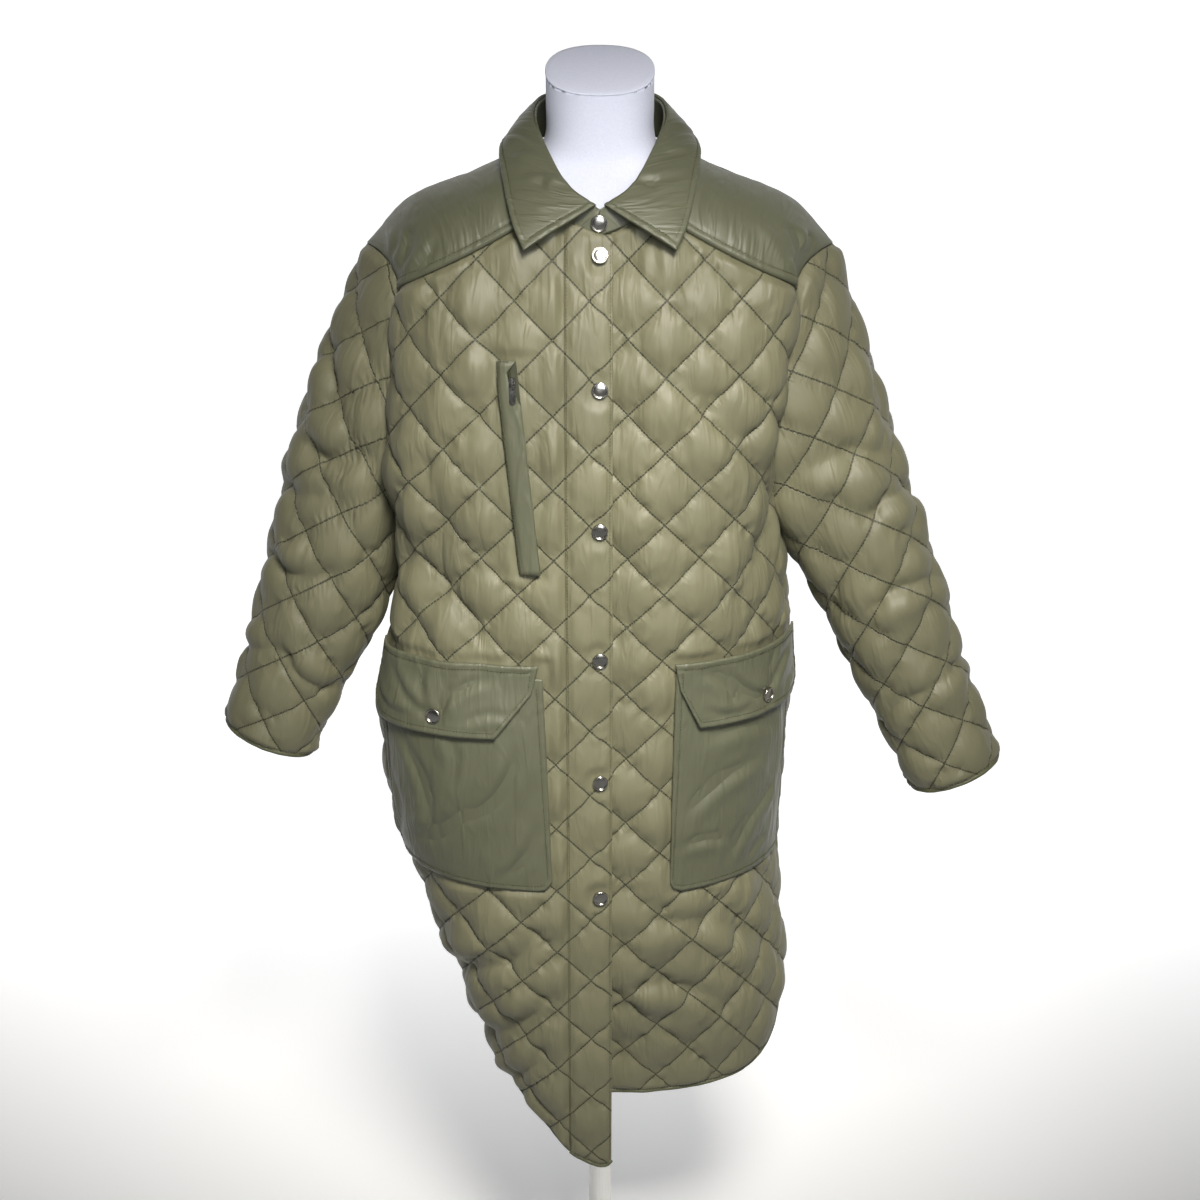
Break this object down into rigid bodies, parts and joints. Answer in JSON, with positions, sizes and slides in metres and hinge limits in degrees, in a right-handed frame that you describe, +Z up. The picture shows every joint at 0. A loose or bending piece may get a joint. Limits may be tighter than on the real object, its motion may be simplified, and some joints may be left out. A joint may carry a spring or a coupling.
{
  "type": "quilted coat on a limbless dress form",
  "caption": "Long diamond-quilted nylon coat with drop shoulders, plain yokes, collar and patch pockets with snap flaps, buttoned up on a limbless dress form with a pole and round base.",
  "frame": {"origin": "middle of the underside of the form's round base, on the floor", "axes": "+Z up, the coat's front faces -Y, +X is the wearer's left"},
  "size_m": [0.9152, 0.3453, 1.5832],
  "materials": {
    "quilted_nylon": "satin padded nylon, diamond quilted",
    "plain_nylon": "satin plain nylon",
    "zip_tape": "woven zip tape",
    "nickel": "nickel plated, polished",
    "jersey": "white knitted jersey over a padded form",
    "white_enamel": "white enamel"
  },
  "bodies": {
    "coat_on_form": {"front_left": "quilted_nylon", "front_right": "quilted_nylon", "back": "quilted_nylon", "yoke_front_left": "plain_nylon", "yoke_front_right": "plain_nylon", "yoke_back": "plain_nylon", "sleeve_left": "quilted_nylon", "sleeve_right": "quilted_nylon", "collar_stand": "plain_nylon", "collar_leaf": "plain_nylon", "placket": "quilted_nylon", "pocket_left": "plain_nylon", "pocket_right": "plain_nylon", "flap_left": "plain_nylon", "flap_right": "plain_nylon", "chest_welt": "plain_nylon", "zip_tape": "zip_tape", "snap_1": "nickel", "snap_2": "nickel", "snap_3": "nickel", "snap_4": "nickel", "snap_5": "nickel", "snap_6": "nickel", "snap_7": "nickel", "flap_snap_left": "nickel", "flap_snap_right": "nickel", "zip_slider": "nickel", "form_torso": "jersey", "form_pole": "white_enamel", "form_base": "white_enamel"},
    "zip_pull": {"pull_tab": "nickel"}
  },
  "joints": [
    {"name": "pull_tab_swing", "type": "hinge", "parent": "coat_on_form", "child": "zip_pull", "pos_m": [-0.08976, -0.15927, 1.26339], "axis": [-0.9957, 0.0927, -0.0082], "range_deg": [0, 150]}
  ]
}
